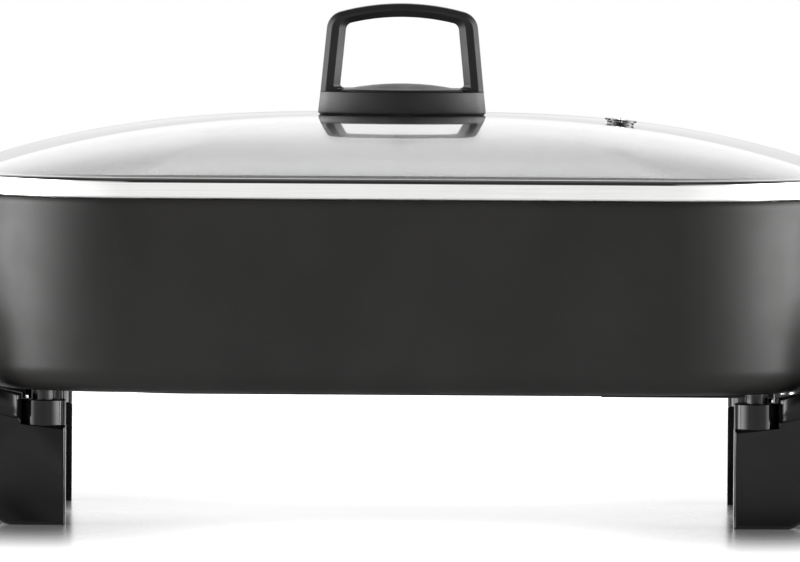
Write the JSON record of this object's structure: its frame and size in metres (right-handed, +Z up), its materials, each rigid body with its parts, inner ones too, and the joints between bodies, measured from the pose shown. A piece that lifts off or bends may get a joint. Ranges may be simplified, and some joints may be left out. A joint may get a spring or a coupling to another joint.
{
  "type": "electric skillet",
  "caption": "Rectangular electric skillet on legs with side grips, a lift-off domed glass lid with a loop handle and steam vent, and a plug-in temperature control probe.",
  "frame": {"origin": "on the table, under the middle of the pan", "axes": "+X along the pan towards the control probe, -Y towards the front, +Z up"},
  "size_m": [0.544, 0.31, 0.2408],
  "materials": {
    "pan_coating": "satin charcoal coating with a faint metallic fleck on cast aluminium",
    "element_sheath": "dull sheathed heating tube",
    "plated_steel": "bright zinc plate",
    "dark_steel": "darkened steel",
    "polished_steel": "polished stainless steel",
    "clear_glass": "clear toughened glass",
    "gloss_black": "glossy black phenolic moulding",
    "satin_charcoal": "satin dark grey moulding",
    "matte_black": "fine-grained black moulding",
    "silicone": "grey silicone",
    "ceramic": "unglazed steatite",
    "brass": "bare brass",
    "lamp_glass": "clear lamp glass",
    "red_lens": "translucent red"
  },
  "bodies": {
    "base": {"pan_body": "pan_coating", "heating_element": "element_sheath", "terminal_pins": "plated_steel", "inlet_shroud": "plated_steel", "shroud_screws": "plated_steel", "handle_left": "gloss_black", "handle_right": "gloss_black", "leg_spacers": "dark_steel", "leg_screws": "plated_steel"},
    "lid": {"glass_lid": "clear_glass", "lid_band": "polished_steel", "vent_eyelet": "polished_steel", "vent_rivet": "polished_steel", "lid_handle": "satin_charcoal", "handle_cap": "satin_charcoal", "handle_gasket": "silicone", "glass_washer": "silicone", "steel_washer": "plated_steel", "handle_screw": "plated_steel"},
    "vent": {"vent_disc": "polished_steel"},
    "probe": {"probe_body_upper": "matte_black", "probe_body_lower": "matte_black", "body_screws": "plated_steel", "thermostat": "ceramic", "probe_rod": "polished_steel", "contact_sleeves": "brass", "cord_gland": "matte_black", "neon_lamp": "lamp_glass", "indicator_lens": "red_lens", "trigger_pin": "plated_steel", "trigger_spring": "plated_steel"},
    "dial": {"control_dial": "matte_black", "dial_shaft": "plated_steel"},
    "trigger": {"release_trigger": "matte_black"}
  },
  "joints": [
    {"name": "lid_lift", "type": "slide", "parent": "base", "child": "lid", "axis": [0, 0, 1], "range_m": [0, 0.15]},
    {"name": "vent_turn", "type": "hinge", "parent": "lid", "child": "vent", "pos_m": [0.10319, 0, 0.18634], "axis": [0.1094, 0, 0.994], "range_deg": [0, 60]},
    {"name": "probe_pull", "type": "slide", "parent": "base", "child": "probe", "axis": [1, 0, 0], "range_m": [0, 0.11]},
    {"name": "dial_turn", "type": "hinge", "parent": "probe", "child": "dial", "pos_m": [0.2525, 0, 0.045], "axis": [0.9111, 0, 0.4122], "range_deg": [-270, 0]},
    {"name": "trigger_squeeze", "type": "hinge", "parent": "probe", "child": "trigger", "pos_m": [0.208, 0, 0.0245], "axis": [0, -1, 0], "range_deg": [0, 8], "stiffness_Nm_per_rad": 0.4, "springref_deg": -8.59, "deforming": ["trigger_spring"]}
  ]
}
